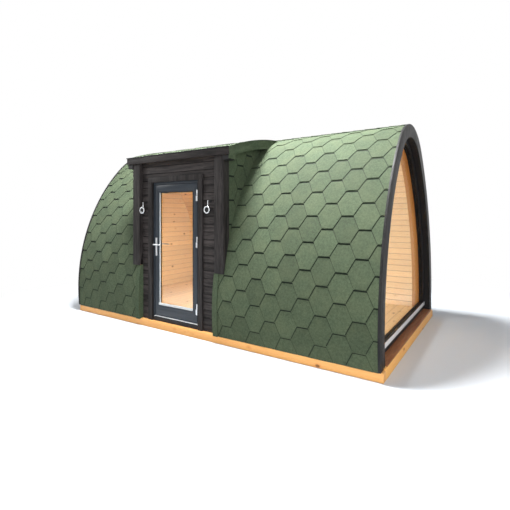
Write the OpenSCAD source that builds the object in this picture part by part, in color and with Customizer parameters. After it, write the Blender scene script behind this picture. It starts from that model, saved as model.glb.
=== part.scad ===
// Camping pod: a shingled pointed vault on a timber base frame, with a glazed gable
// and a dormer entrance in one long side. All sizes are in millimetres.
// +X runs to the glazed gable, -Y to the entrance side, +Z up from the ground.

/* [Base] */
// Length of the base frame
base_l = 4800; // [3000:10:7000]
// Height of the long base beams
beam_h = 95; // [60:5:140]
// Thickness of the base beams
beam_t = 80; // [50:5:120]
// Width of one cross joist
joist_t = 70; // [45:5:100]
// Largest spacing of the cross joists
joist_pitch = 800; // [400:50:1200]
// Thickness of the floor boards
deck_t = 30; // [18:1:40]

/* [Vault] */
// Overall width of the shingled vault
vault_w = 2830; // [2400:10:3600]
// Height of the ridge above the ground
ridge_h = 2630; // [2500:10:3300]
// Radius of the rounded crown
crown_r = 834; // [600:2:1000]
// Height at which the vault is widest
spring_z = 380; // [200:10:600]
// Height of the lower edge of the shingles
skirt_z = 85; // [60:5:95]
// Thickness of the shingles and their boarding
cover_t = 12; // [8:1:20]
// Thickness of the boarded wall under the shingles
wall_t = 108; // [80:2:140]

/* [Gables] */
// Width of the arched gable boards
arch_w = 150; // [130:2:200]
// Thickness of the arched gable boards
arch_t = 25; // [15:1:40]
// How far the arched board of the glazed gable stands back from the base
arch_back = 20; // [5:1:60]
// How far the gable boards stand out past the shingles
arch_proud = 5; // [0:1:12]
// Depth of the black reveal in front of the glazing
reveal_d = 60; // [30:5:200]
// Width of the glazing frame
glaze_w = 55; // [40:5:90]
// Depth of the glazing frame
glaze_d = 60; // [40:5:90]
// Thickness of the gable glass unit
glaze_t = 24; // [10:2:40]
// Height of the bottom rail of the glazing
glaze_rail_h = 110; // [80:5:160]
// Height of the metal bar across the bottom rail
bar_h = 45; // [20:5:70]
// Thickness of the solid end wall
end_t = 60; // [40:5:100]
// Width of the step board below the glazing
step_w = 110; // [100:5:160]
// Thickness of the step board
step_t = 15; // [10:1:30]

/* [Dormer] */
// Middle of the dormer along the pod
dormer_x = -267; // [-600:1:600]
// Width of the dormer over its corner boards
dormer_w = 1630; // [1500:10:2000]
// Height of the lower ends of the corner boards
board_z = 836; // [500:2:1200]
// Width of a corner board
board_w = 140; // [80:5:180]
// Thickness of the black boards
board_t = 20; // [12:1:30]
// How far the corner boards stand out past the vault at their lower ends
board_proud = 14; // [4:1:40]
// Depth of the side return of a corner board
board_return = 110; // [80:5:160]
// How far the front wall stands back from the corner boards
wall_back = 60; // [45:5:70]
// Thickness of the dormer front wall
front_t = 50; // [40:2:70]
// Thickness of the dormer cheeks
cheek_t = 40; // [30:2:60]
// Thickness of the inner pine lining
lining_t = 12; // [8:1:20]
// Radius of the curved dormer roof
roof_r = 4070; // [3000:10:6000]
// Thickness of the dormer roof deck
roof_t = 68; // [50:2:100]
// How far the dormer roof stands out at each side
roof_out = 85; // [60:5:150]
// Height of the shingled edge band of the dormer roof
band_h = 120; // [90:5:160]
// Height of the flat fascia
fascia_h = 82; // [60:2:140]
// Distance from the corner boards to the fascia's front
fascia_out = 30; // [20:2:80]
// Half width of the crown strip, where the dormer roof ends against the vault
crown_half = 280; // [100:5:300]
// Width of the shingled edge strips beside the entrance
strip_w = 60; // [30:5:90]

/* [Door] */
// Middle of the door along the pod
door_x = -305; // [-700:1:700]
// Width of the door leaf
leaf_w = 776; // [600:2:900]
// Height of the door leaf
leaf_h = 1781; // [1600:1:1830]
// Thickness of the door leaf
leaf_t = 50; // [40:1:60]
// Height of the underside of the leaf
leaf_z = 163; // [155:1:180]
// Gap between the leaf and its frame
leaf_gap = 5; // [5:1:8]
// Width of the leaf's stiles
stile_w = 82; // [60:2:120]
// Height of the leaf's top rail
top_rail = 102; // [60:2:140]
// Height of the leaf's bottom rail
bottom_rail = 152; // [100:2:240]
// Width of the door frame's jambs
jamb_w = 45; // [35:1:60]
// Depth of the door frame
jamb_d = 70; // [60:1:80]
// Width of the black casing boards
casing_w = 77; // [50:1:110]
// How much of the frame shows between the leaf and the casing
frame_show = 30; // [20:1:40]
// Thickness of the casing boards
casing_t = 30; // [18:1:36]
// Length of one hinge
hinge_l = 140; // [90:5:180]
// Radius of the hinge barrels
hinge_r = 8; // [6:0.5:10]
// Height of the handle's spindle above the leaf's underside
handle_z = 973; // [800:1:1100]
// Distance from the leaf's edge to the handle's spindle
handle_in = 31; // [28:1:45]
// Length of the lever
lever_l = 122; // [90:1:140]

/* [Lamps] */
// Distance of the left lamp from the middle of the door
lamp_left = 565; // [520:1:600]
// Distance of the right lamp from the middle of the door
lamp_right = 612; // [520:1:640]
// Height of the lamps
lamp_z = 1602; // [1200:2:1900]
// Outer radius of a lamp's ring
lamp_r = 47; // [30:1:60]
// Distance from the wall to the front of a lamp
lamp_out = 88; // [70:1:110]

/* [Hidden] */
$fn = 64;

// small clearances
slip = 3;
far = 9000;

// vault profile: one large arc each side and a crown arc that is tangent to both
half = vault_w / 2;
crown_z = ridge_h - crown_r;
rise = crown_z - spring_z;
side_r = (half * half + rise * rise - crown_r * crown_r) / (2 * (half - crown_r));
side_c = side_r - half;
blend = atan2(rise, side_c);
side_steps = 30;
crown_steps = 20;
side_a0 = -20;

// points of one side on a fixed set of angles, so that nested surfaces stay parallel,
// with the lowest one cut level at height zb
function side_grid(inset) =
    let (r = side_r - inset)
    [for (k = [0 : side_steps])
        let (a = side_a0 + (blend - side_a0) * k / side_steps)
        [r * cos(a) - side_c, spring_z + r * sin(a)]];
function side_foot(pts, zb) =
    [for (k = [1 : len(pts) - 1])
        if (pts[k - 1][1] <= zb && pts[k][1] > zb)
            let (t = (zb - pts[k - 1][1]) / (pts[k][1] - pts[k - 1][1]))
            pts[k - 1] + t * (pts[k] - pts[k - 1])];
function side_pts(inset, zb) =
    let (pts = side_grid(inset))
    concat(side_foot(pts, zb), [for (p = pts) if (p[1] > zb) p]);
// points of the crown between the two sides
function crown_pts(inset) =
    [for (k = [1 : crown_steps - 1])
        let (a = blend + (180 - 2 * blend) * k / crown_steps)
        [(crown_r - inset) * cos(a), crown_z + (crown_r - inset) * sin(a)]];
function flip(pts) = [for (k = [len(pts) - 1 : -1 : 0]) pts[k]];
function mirrored(pts) = [for (p = flip(pts)) [-p[0], p[1]]];
function arch(inset, zb) =
    concat(side_pts(inset, zb), crown_pts(inset), mirrored(side_pts(inset, zb)));
function arch_ring(outer, inner, zb) = concat(arch(outer, zb), flip(arch(inner, zb)));
// half width of the vault at height z, and the height of its crown at distance y
function half_at(z, inset) = sqrt(pow(side_r - inset, 2) - pow(z - spring_z, 2)) - side_c;
function crown_at(y) = crown_z + sqrt(crown_r * crown_r - y * y);
// points of the dormer roof at radius r, on fixed angles, cut upright at ya and yb
roof_steps = 30;
roof_a0 = -30;
function roof_grid(r) =
    [for (k = [0 : roof_steps])
        let (a = roof_a0 * (1 - k / roof_steps))
        [r * sin(a), roof_z + r * cos(a)]];
function roof_cut(pts, y) =
    [for (k = [1 : len(pts) - 1])
        if (pts[k - 1][0] <= y && pts[k][0] > y)
            let (t = (y - pts[k - 1][0]) / (pts[k][0] - pts[k - 1][0]))
            pts[k - 1] + t * (pts[k] - pts[k - 1])];
function roof_line(r, ya, yb) =
    let (pts = roof_grid(r))
    concat(roof_cut(pts, ya), [for (p = pts) if (p[0] > ya && p[0] < yb) p], roof_cut(pts, yb));

// along the pod
x0 = -base_l / 2;
x1 = base_l / 2;
arch_x = x1 - arch_back;
vault_x0 = x0 + arch_t;
vault_x1 = arch_x - arch_t;
glaze_x = vault_x1 - reveal_d;
inner = cover_t + wall_t;
// base
beam_y = half_at(skirt_z, cover_t) - slip;
floor_z = beam_h + deck_t;
deck_y = half_at(beam_h, inner) - slip;
foot_y = half_at(beam_h, arch_w) - slip;
end_beam_h = floor_z - step_t;
joist_room = base_l - 2 * step_w;
joist_n = 2 * ceil(joist_room / joist_pitch / 2);
// dormer
dx0 = dormer_x - dormer_w / 2;
dx1 = dormer_x + dormer_w / 2;
board_y = -half_at(board_z, 0) - board_proud;
front_y = board_y + wall_back;
front_in = front_y + front_t;
fascia_y = board_y - fascia_out;
pier0 = dx0 + board_w;
pier1 = dx1 - board_w;
cheek_x0 = dx0 + board_t;
cheek_x1 = dx1 - board_t;
roof_z = crown_at(crown_half) - sqrt(roof_r * roof_r - crown_half * crown_half);
roof_low = roof_r - cover_t - roof_t;
roof_x0 = dx0 - roof_out;
roof_x1 = dx1 + roof_out;
fascia_top = roof_z + sqrt(roof_r * roof_r - fascia_y * fascia_y);
// door
leaf_x0 = door_x - leaf_w / 2;
leaf_x1 = door_x + leaf_w / 2;
leaf_y = front_y - 2;
leaf_top = leaf_z + leaf_h;
hole_x0 = leaf_x0 - leaf_gap;
hole_x1 = leaf_x1 + leaf_gap;
hole_top = leaf_top + leaf_gap;
frame_x0 = hole_x0 - jamb_w;
frame_x1 = hole_x1 + jamb_w;
casing_x0 = leaf_x0 - frame_show;
casing_x1 = leaf_x1 + frame_show;
casing_top = leaf_top + frame_show + 8;
pivot_x = leaf_x1 + leaf_gap / 2;
pivot_y = leaf_y - hinge_r;
hinge_heights = [110, 960, leaf_h - 230];
spindle_x = leaf_x0 + handle_in;
spindle_z = leaf_z + handle_z;
glass_t = 20;
rebate = 12;

module along_x(a, b) {
    translate([a, 0, 0])
        rotate([90, 0, 90])
            linear_extrude(height = b - a)
                children();
}
module along_y(y, d) {
    translate([0, y, 0])
        rotate([-90, 0, 0])
            cylinder(r = d[0], h = d[1]);
}
module box(a, b) {
    translate(a)
        cube([b[0] - a[0], b[1] - a[1], b[2] - a[2]]);
}
module shell(a, b, outer, inside, zb) {
    along_x(a, b)
        polygon(arch_ring(outer, inside, zb));
}
module inside_arch(a, b, inset) {
    along_x(a, b)
        polygon(arch(inset, -far / 10));
}
// a curved band of the dormer roof between two radii, from ya back to yb
module roof_band(a, b, ra, rb, ya, yb) {
    along_x(a, b)
        polygon(concat(roof_line(ra, ya, yb), flip(roof_line(rb, ya, yb))));
}
// everything under the dormer roof's deck, from ya back to yb and down to zb
module under_roof(a, b, ya, yb, zb) {
    along_x(a, b)
        polygon(concat([[ya, zb]], roof_line(roof_low, ya, yb), [[yb, zb]]));
}

// ---- base ----
module long_beam(side) {
    box([x0, side > 0 ? beam_y - beam_t : -beam_y, 0],
        [x1, side > 0 ? beam_y : beam_t - beam_y, beam_h]);
}
module base_beam_front() {
    color("burlywood") long_beam(-1);
}
module base_beam_back() {
    color("burlywood") long_beam(1);
}
// end beams stand higher than the long ones between the feet of the arched boards
module end_beam(a, b) {
    box([a, beam_t - beam_y, 0], [b, beam_y - beam_t, beam_h]);
    box([a, -foot_y, 0], [b, foot_y, end_beam_h]);
}
module base_beam_left() {
    color("burlywood") end_beam(x0, x0 + beam_t);
}
module base_beam_right() {
    color("burlywood") {
        end_beam(x1 - beam_t, x1);
        box([arch_x, beam_t - beam_y, 0], [x1, beam_y - beam_t, end_beam_h]);
    }
}
module floor_joists() {
    color("burlywood")
        for (k = [-joist_n / 2 : joist_n / 2])
            let (x = k * (joist_room - 2 * joist_t) / joist_n)
            box([x - joist_t / 2, beam_t - beam_y, 0],
                [x + joist_t / 2, beam_y - beam_t, beam_h]);
}
module floor_deck() {
    color("wheat")
        difference() {
            box([x0 + beam_t, -deck_y, beam_h], [x1 - step_w, deck_y, floor_z]);
            box([pier0, -far, 0], [pier1, front_in, far]);
        }
}
module gable_step() {
    color("saddlebrown")
        box([x1 - step_w, -foot_y, end_beam_h], [x1, foot_y, floor_z]);
}

// ---- vault ----
module front_part(a, b, left, outer, inside, zb) {
    difference() {
        shell(a, b, outer, inside, zb);
        box([a - 1, -crown_half, -1], [b + 1, far, far]);
        if (left)
            box([cheek_x0, -far, board_z], [b + 1, far, far]);
        else
            box([a - 1, -far, board_z], [cheek_x1, far, far]);
    }
}
module vault_front_left() {
    color("burlywood") front_part(vault_x0, pier0, true, cover_t, inner, beam_h);
}
module vault_front_right() {
    color("burlywood") front_part(pier1, vault_x1, false, cover_t, inner, beam_h);
}
module vault_back() {
    color("burlywood")
        difference() {
            shell(vault_x0, vault_x1, cover_t, inner, beam_h);
            box([x0 - 1, -far, -1], [x1 + 1, -crown_half, far]);
        }
}
module cover_front_left() {
    color("darkolivegreen") front_part(vault_x0, pier0, true, 0, cover_t, skirt_z);
}
module cover_front_right() {
    color("darkolivegreen") front_part(pier1, vault_x1, false, 0, cover_t, skirt_z);
}
module cover_back() {
    color("darkolivegreen")
        difference() {
            shell(vault_x0, vault_x1, 0, cover_t, skirt_z);
            box([x0 - 1, -far, -1], [x1 + 1, -crown_half, far]);
        }
}

// ---- gables ----
module gable_arch() {
    color("dimgray") shell(vault_x1, arch_x, -arch_proud, arch_w, beam_h);
}
module gable_reveal() {
    color("black") shell(glaze_x, vault_x1, inner, arch_w, floor_z);
}
module glazing_frame() {
    color("black")
        difference() {
            along_x(glaze_x - glaze_d, glaze_x) polygon(arch(inner, floor_z));
            intersection() {
                inside_arch(glaze_x - glaze_d - 1, glaze_x + 1, arch_w + glaze_w);
                box([0, -far, floor_z + glaze_rail_h], [far, far, far]);
            }
            translate([glaze_x - glaze_d / 2 - glaze_t / 2, 0, 0])
                intersection() {
                    inside_arch(0, glaze_t, arch_w + glaze_w - rebate);
                    box([-1, -far, floor_z + glaze_rail_h - rebate], [far, far, far]);
                }
        }
}
module gable_glass() {
    color("lightblue", 0.4)
        intersection() {
            inside_arch(glaze_x - glaze_d / 2 - glaze_t / 2, glaze_x - glaze_d / 2 + glaze_t / 2,
                arch_w + glaze_w - rebate);
            box([0, -far, floor_z + glaze_rail_h - rebate], [far, far, far]);
        }
}
module glazing_bar() {
    bar_z = floor_z + glaze_rail_h / 2 + 3;
    color("silver")
        intersection() {
            inside_arch(glaze_x, glaze_x + 12, arch_w);
            box([0, -far, bar_z], [far, far, bar_z + bar_h]);
        }
}
module end_arch() {
    color("dimgray") shell(x0, vault_x0, -arch_proud, arch_w, beam_h);
}
module end_wall() {
    color("black")
        along_x(vault_x0, vault_x0 + end_t - lining_t) polygon(arch(inner, end_beam_h));
}
module end_lining() {
    color("burlywood")
        along_x(vault_x0 + end_t - lining_t, vault_x0 + end_t) polygon(arch(inner, floor_z));
}

// ---- dormer ----
// the vault's outer form on both sides of the dormer's cheeks
module vault_beside() {
    inside_arch(x0, cheek_x0, -1);
    inside_arch(cheek_x1, x1, -1);
}
module dormer_roof() {
    color("burlywood")
        difference() {
            roof_band(roof_x0, roof_x1, roof_low, roof_r - cover_t, fascia_y + board_t,
                -crown_half);
            vault_beside();
        }
}
module roof_tab(x) {
    box([x, fascia_y + board_t, fascia_top - fascia_h - 52],
        [x + cover_t, fascia_y + board_t + 130, fascia_top - fascia_h + 40]);
}
module dormer_cover() {
    color("darkolivegreen")
        difference() {
            union() {
                roof_band(roof_x0 - cover_t, roof_x1 + cover_t, roof_r - cover_t, roof_r,
                    fascia_y + board_t, -crown_half);
                for (x = [roof_x0 - cover_t, roof_x1]) {
                    roof_band(x, x + cover_t, roof_r - band_h, roof_r - cover_t / 2,
                        fascia_y + board_t, -crown_half);
                    roof_tab(x);
                }
            }
            vault_beside();
        }
}
module dormer_fascia() {
    color("black")
        box([roof_x0 - cover_t, fascia_y, fascia_top - fascia_h],
            [roof_x1 + cover_t, fascia_y + board_t, fascia_top]);
}
module fascia_cap() {
    color("black")
        box([roof_x0 - cover_t - 8, fascia_y - 8, fascia_top],
            [roof_x1 + cover_t, fascia_y + board_t, fascia_top + cover_t]);
}
module soffit(a, b) {
    difference() {
        union() {
            roof_band(a, b, roof_low - cover_t, roof_low, fascia_y + board_t, -crown_half);
            intersection() {
                under_roof(a, b, fascia_y + board_t, board_y + board_return, 0);
                box([a, -far, fascia_top - fascia_h - 60], [b, far, far]);
            }
        }
        inside_arch(x0, x1, 0);
    }
}
module dormer_soffits() {
    color("black") {
        soffit(roof_x0, dx0);
        soffit(dx1, roof_x1);
    }
}
module cheek(a, b, ya) {
    difference() {
        under_roof(a, b, ya, -crown_half, board_z);
        inside_arch(x0, x1, inner);
    }
}
module cheeks() {
    color("burlywood") {
        cheek(cheek_x0, cheek_x0 + cheek_t, board_y + board_t);
        cheek(cheek_x1 - cheek_t, cheek_x1, board_y + board_t);
    }
}
module cheek_skin(a, b) {
    difference() {
        under_roof(a, b, board_y + board_return, -crown_half, board_z);
        inside_arch(x0, x1, 0);
        roof_band(a - 1, b + 1, roof_low - cover_t, roof_low + 1, -far / 4, 0);
    }
}
module cheek_skins() {
    color("darkolivegreen") {
        cheek_skin(dx0 + board_t - cover_t, cheek_x0);
        cheek_skin(cheek_x1, dx1 - board_t + cover_t);
    }
}
// corner board: a face board with an inner filler and a side return, cut to the vault
module corner_board(inner_x, side) {
    outer_x = inner_x + side * board_w;
    a = min(inner_x, outer_x);
    b = max(inner_x, outer_x);
    fill = side > 0 ? a : b - board_t;
    ret = side > 0 ? b - board_t : a;
    difference() {
        intersection() {
            union() {
                box([a, board_y, board_z], [b, board_y + board_t, far]);
                box([fill, board_y, board_z], [fill + board_t, front_y, far]);
                box([ret, board_y, board_z], [ret + board_t, board_y + board_return, far]);
            }
            under_roof(a - 1, b + 1, board_y, board_y + board_return, 0);
        }
        inside_arch(x0, x1, 0);
        box([cheek_x0, board_y + board_t, 0], [cheek_x0 + cheek_t, far, far]);
        box([cheek_x1 - cheek_t, board_y + board_t, 0], [cheek_x1, far, far]);
    }
}
module corner_board_left() {
    color("black") corner_board(pier0, -1);
}
module corner_board_right() {
    color("black") corner_board(pier1, 1);
}
// shingled strip that wraps the vault's edge beside the entrance
module edge_strip(inner_x, side) {
    lip = side > 0 ? inner_x - cover_t : inner_x;
    face = side > 0 ? inner_x : inner_x - strip_w;
    intersection() {
        union() {
            shell(face, face + strip_w, -cover_t / 2, 0, skirt_z);
            along_x(lip, lip + cover_t) polygon(arch(-cover_t / 2, skirt_z));
        }
        box([x0, -far, 0], [x1, front_y, board_z]);
    }
}
module edge_strips() {
    color("darkolivegreen")
        difference() {
            union() {
                edge_strip(pier0, -1);
                edge_strip(pier1, 1);
            }
            long_beam(-1);
        }
}
module front_wall(a, b, wide_a, wide_b) {
    intersection() {
        union() {
            box([a, front_y, beam_h], [b, front_in, board_z]);
            box([wide_a, front_y, board_z], [wide_b, front_in, far]);
        }
        under_roof(x0, x1, front_y, front_in, 0);
    }
}
module wall_left() {
    color("black") front_wall(pier0, frame_x0, cheek_x0 + cheek_t, frame_x0);
}
module wall_right() {
    color("black") front_wall(frame_x1, pier1, frame_x1, cheek_x1 - cheek_t);
}
module wall_head() {
    color("black")
        intersection() {
            box([frame_x0, front_y, hole_top + jamb_w], [frame_x1, front_in, far]);
            under_roof(x0, x1, front_y, front_in, 0);
        }
}

// ---- door ----
module door_frame() {
    back = front_y + jamb_d;
    stop_y = leaf_y + leaf_t + leaf_gap;
    color("darkslategray")
        difference() {
            box([frame_x0, front_y, floor_z], [frame_x1, back, hole_top + jamb_w]);
            box([hole_x0, -far, 0], [hole_x1, stop_y, hole_top]);
            box([hole_x0 + 2 * leaf_gap, -far, 0],
                [hole_x1 - 2 * leaf_gap, far, hole_top - 2 * leaf_gap]);
        }
}
module door_casing() {
    face = front_y - casing_t;
    color("black") {
        box([casing_x0 - casing_w, face, beam_h], [casing_x0, front_y, casing_top]);
        box([casing_x1, face, beam_h], [casing_x1 + casing_w, front_y, casing_top]);
        box([casing_x0 - casing_w, face - 3, casing_top],
            [casing_x1 + casing_w + 10, front_y, casing_top + 70]);
    }
}
module threshold() {
    color("black")
        difference() {
            union() {
                box([casing_x0, front_y - casing_t / 2, beam_h],
                    [casing_x1, front_y, leaf_z - 18]);
                box([frame_x0, front_y, beam_h], [frame_x1, front_in, floor_z]);
                box([hole_x0, front_y, floor_z - 1], [hole_x1, front_in, leaf_z - 18]);
            }
            box([x0, -far, 0], [x1, beam_t - beam_y, beam_h]);
        }
    color("gainsboro")
        box([hole_x0, front_y - casing_t / 2, leaf_z - 18], [hole_x1, front_in, leaf_z - 5]);
}
module door_leaf() {
    color("slategray")
        difference() {
            box([leaf_x0, leaf_y, leaf_z], [leaf_x1, leaf_y + leaf_t, leaf_top]);
            box([leaf_x0 + stile_w, -far, leaf_z + bottom_rail],
                [leaf_x1 - stile_w, far, leaf_top - top_rail]);
            translate([0, leaf_y + leaf_t / 2 - glass_t / 2, 0])
                box([leaf_x0 + stile_w - rebate, 0, leaf_z + bottom_rail - rebate],
                    [leaf_x1 - stile_w + rebate, glass_t, leaf_top - top_rail + rebate]);
        }
}
module door_glass() {
    color("lightblue", 0.4)
        translate([0, leaf_y + leaf_t / 2 - glass_t / 2, 0])
            box([leaf_x0 + stile_w - rebate, 0, leaf_z + bottom_rail - rebate],
                [leaf_x1 - stile_w + rebate, glass_t, leaf_top - top_rail + rebate]);
}
// pale bead beside the glass and a weather bar along its foot
module glazing_beads() {
    glass_y = leaf_y + leaf_t / 2 - glass_t / 2;
    ga = leaf_x0 + stile_w;
    gb = leaf_x1 - stile_w;
    gz = leaf_z + bottom_rail;
    color("white") {
        box([ga, leaf_y - 6, gz], [gb, glass_y, gz + 28]);
        box([ga, glass_y - 8, gz + 28], [ga + 12, glass_y, leaf_top - top_rail]);
    }
}
// each hinge: a lower barrel with a plate on the leaf, an upper one with a plate on the frame
module barrel(z) {
    translate([pivot_x, pivot_y, z])
        cylinder(r = hinge_r, h = hinge_l / 2 - 0.25);
}
module hinge_frame_halves() {
    color("silver")
        for (h = hinge_heights)
            let (z = leaf_z + h + hinge_l / 2 + 0.25) {
                barrel(z);
                box([pivot_x, pivot_y, z],
                    [pivot_x + 22, front_y, z + hinge_l / 2 - 0.25]);
            }
}
module hinge_door_halves() {
    color("silver")
        for (h = hinge_heights)
            let (z = leaf_z + h) {
                barrel(z);
                box([leaf_x1 - 24, leaf_y - 3, z], [pivot_x, leaf_y, z + hinge_l / 2 - 0.25]);
            }
}
module plate(ya, yb) {
    box([spindle_x - 15, ya, spindle_z - 154], [spindle_x + 15, yb, spindle_z + 90]);
    translate([0, 0, spindle_z - 92])
        translate([spindle_x, 0, 0])
            along_y(ya < leaf_y ? ya - 4 : yb, [9, 4]);
}
module handle_plates() {
    color("silver")
        difference() {
            union() {
                plate(leaf_y - 6, leaf_y);
                plate(leaf_y + leaf_t, leaf_y + leaf_t + 6);
            }
            translate([spindle_x, 0, spindle_z])
                along_y(leaf_y - far / 10, [8.3, far / 5]);
        }
}
module lever(y, turn) {
    translate([spindle_x, y, spindle_z])
        rotate([0, 90, 0])
            cylinder(r = 8, h = lever_l);
    translate([spindle_x, min(y, y + turn), spindle_z])
        rotate([-90, 0, 0])
            cylinder(r = 8, h = abs(turn));
    translate([spindle_x, y, spindle_z])
        sphere(r = 8);
    translate([spindle_x + lever_l, y, spindle_z])
        sphere(r = 8);
}
module door_lever() {
    stand = 56;
    color("silver") {
        lever(leaf_y - stand, stand - 0.5);
        lever(leaf_y + leaf_t + stand, 0.5 - stand);
    }
}

// ---- lamps ----
module lamp(x) {
    ring_y = front_y - lamp_out;
    neck_z = lamp_z + lamp_r + 60;
    translate([x, 0, lamp_z]) {
        translate([0, ring_y + 7, 0])
            rotate([90, 0, 0])
                rotate_extrude()
                    translate([lamp_r - 7, 0])
                        circle(r = 7);
        along_y(ring_y + 10, [lamp_r - 9, 34]);
        along_y(ring_y + 5, [lamp_r - 7, 8]);
    }
    translate([x, ring_y + 27, lamp_z + lamp_r - 14])
        cylinder(r = 5, h = neck_z - lamp_z - lamp_r + 14);
    translate([x, 0, neck_z]) {
        along_y(ring_y + 22, [5, lamp_out - 22]);
        along_y(front_y - 8, [22, 8]);
    }
}
module wall_lamps() {
    color("silver") {
        lamp(door_x - lamp_left);
        lamp(door_x + lamp_right);
    }
}

base_beam_front();
base_beam_back();
base_beam_left();
base_beam_right();
floor_joists();
floor_deck();
gable_step();
vault_front_left();
vault_front_right();
vault_back();
cover_front_left();
cover_front_right();
cover_back();
gable_arch();
gable_reveal();
glazing_frame();
gable_glass();
glazing_bar();
end_arch();
end_wall();
end_lining();
dormer_roof();
dormer_cover();
dormer_fascia();
fascia_cap();
dormer_soffits();
cheeks();
cheek_skins();
corner_board_left();
corner_board_right();
edge_strips();
wall_left();
wall_right();
wall_head();
door_frame();
door_casing();
threshold();
hinge_frame_halves();
hinge_door_halves();
door_leaf();
door_glass();
glazing_beads();
handle_plates();
door_lever();
wall_lamps();
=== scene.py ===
import math
import bpy
import bmesh
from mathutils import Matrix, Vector, noise


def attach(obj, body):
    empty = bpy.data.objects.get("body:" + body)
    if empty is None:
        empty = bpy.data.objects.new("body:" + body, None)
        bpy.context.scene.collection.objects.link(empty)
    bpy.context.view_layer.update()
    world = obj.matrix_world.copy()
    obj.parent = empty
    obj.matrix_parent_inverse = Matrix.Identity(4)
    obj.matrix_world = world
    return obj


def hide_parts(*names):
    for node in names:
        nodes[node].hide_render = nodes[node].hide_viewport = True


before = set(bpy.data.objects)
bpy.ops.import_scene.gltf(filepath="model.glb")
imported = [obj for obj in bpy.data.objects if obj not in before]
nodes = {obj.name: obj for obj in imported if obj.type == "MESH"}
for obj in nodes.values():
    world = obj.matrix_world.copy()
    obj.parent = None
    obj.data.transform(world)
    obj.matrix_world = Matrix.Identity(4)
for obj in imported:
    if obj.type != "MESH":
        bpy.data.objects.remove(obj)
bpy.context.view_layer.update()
scene = bpy.context.scene
print("frame loaded:", len(nodes), "nodes")

# the pod's own form, in metres: two large side arcs and a crown arc that touches both
pod = {
    "half": 1.415, "ridge": 2.63, "crownR": 0.834, "springZ": 0.38, "skirtZ": 0.085,
    "wallIn": 0.12, "vaultX0": -2.375, "vaultX1": 2.355, "floorZ": 0.125, "beamH": 0.095,
    "glazeBack": 2.235, "endFace": -2.315,
}
pod["crownZ"] = pod["ridge"] - pod["crownR"]
rise = pod["crownZ"] - pod["springZ"]
pod["sideR"] = (pod["half"] ** 2 + rise ** 2 - pod["crownR"] ** 2) / (2 * (pod["half"] - pod["crownR"]))
pod["sideC"] = pod["sideR"] - pod["half"]
pod["blend"] = math.atan2(rise, pod["sideC"])
pod["ridgeS"] = pod["sideR"] * pod["blend"] + pod["crownR"] * (math.pi / 2 - pod["blend"])

# the dormer in the entrance side
dormer = {
    "x0": -1.082, "x1": 0.548, "cheek0": -1.062, "cheek1": 0.528, "cheekT": 0.04,
    "pier0": -0.942, "pier1": 0.408, "boardY": -1.39228, "boardZ": 0.836,
    "wallY": -1.33228, "wallIn": -1.28228, "fasciaY": -1.42228, "roofR": 4.07,
    "roofX0": -1.167, "roofX1": 0.633, "backY": -0.28, "bandH": 0.12,
}
dormer["roofZ"] = (pod["crownZ"] + math.sqrt(pod["crownR"] ** 2 - dormer["backY"] ** 2)
                   - math.sqrt(dormer["roofR"] ** 2 - dormer["backY"] ** 2))

# the door leaf and its place
door = {
    "x0": -0.693, "x1": 0.083, "z0": 0.163, "z1": 1.944, "y": -1.33428, "t": 0.05,
    "stile": 0.082, "top": 0.102, "bottom": 0.152, "casing0": -0.8, "casing1": 0.19,
    "casingTop": 2.052, "pivotX": 0.0855, "pivotY": -1.34228, "spindleX": -0.662, "spindleZ": 1.136,
}

# one shingle, its place in the pattern and the felt under it
shingle = {"pitch": 0.393, "course": 0.1475, "flat": 0.06, "wide": 0.135, "body": 0.1955, "thick": 0.0042,
           "head": 0.33, "firstColumn": 0.803, "firstRow": 0.014, "start": -0.60, "jitter": 0.0012,
           "backingFoot": -0.294, "backingTop": 0.0085, "backingUnder": 0.012}


class Wire:  # one socket, so that node maths reads as Python
    def __init__(self, build, socket):
        self.build, self.socket = build, socket

    def maths(self, operation, *others):
        return self.build.add("ShaderNodeMath", {"operation": operation}, dict(enumerate((self,) + others)))

    def __rsub__(self, other):
        return self.build.add("ShaderNodeMath", {"operation": "SUBTRACT"}, {0: other, 1: self})

    __add__ = __radd__ = lambda self, other: self.maths("ADD", other)
    __mul__ = __rmul__ = lambda self, other: self.maths("MULTIPLY", other)
    __sub__ = lambda self, other: self.maths("SUBTRACT", other)
    __truediv__ = lambda self, other: self.maths("DIVIDE", other)
    __gt__ = lambda self, other: self.maths("GREATER_THAN", other)


class NodeBuild:  # adds nodes to a tree: settings first, then values or links
    def __init__(self, tree):
        self.tree = tree

    def add(self, kind, settings=None, values=None, out=0):
        made = self.tree.nodes.new(kind)
        for name, value in (settings or {}).items():
            setattr(made, name, value)
        for name, value in (values or {}).items():
            if isinstance(value, Wire):
                self.tree.links.new(value.socket, made.inputs[name])
            else:
                made.inputs[name].default_value = value
        return Wire(self, made.outputs[out] if len(made.outputs) else None)

    def looking(self):  # 1 for a ray that shows the scene, straight on, in a gloss or through a pane
        camera, glossy, through = [self.add("ShaderNodeLightPath", out="Is " + kind + " Ray")
                                   for kind in ("Camera", "Glossy", "Transmission")]
        return (camera + glossy + through).maths("MINIMUM", 1.0)


def srgb(r, g, b):  # a colour written from 0 to 255, in linear light
    return tuple(c / 3294.6 if c <= 10 else ((c / 255 + 0.055) / 1.055) ** 2.4 for c in (r, g, b)) + (1.0,)


def shaded(colour, amount):
    return tuple(c * amount for c in colour[:3]) + (1.0,)


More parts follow.
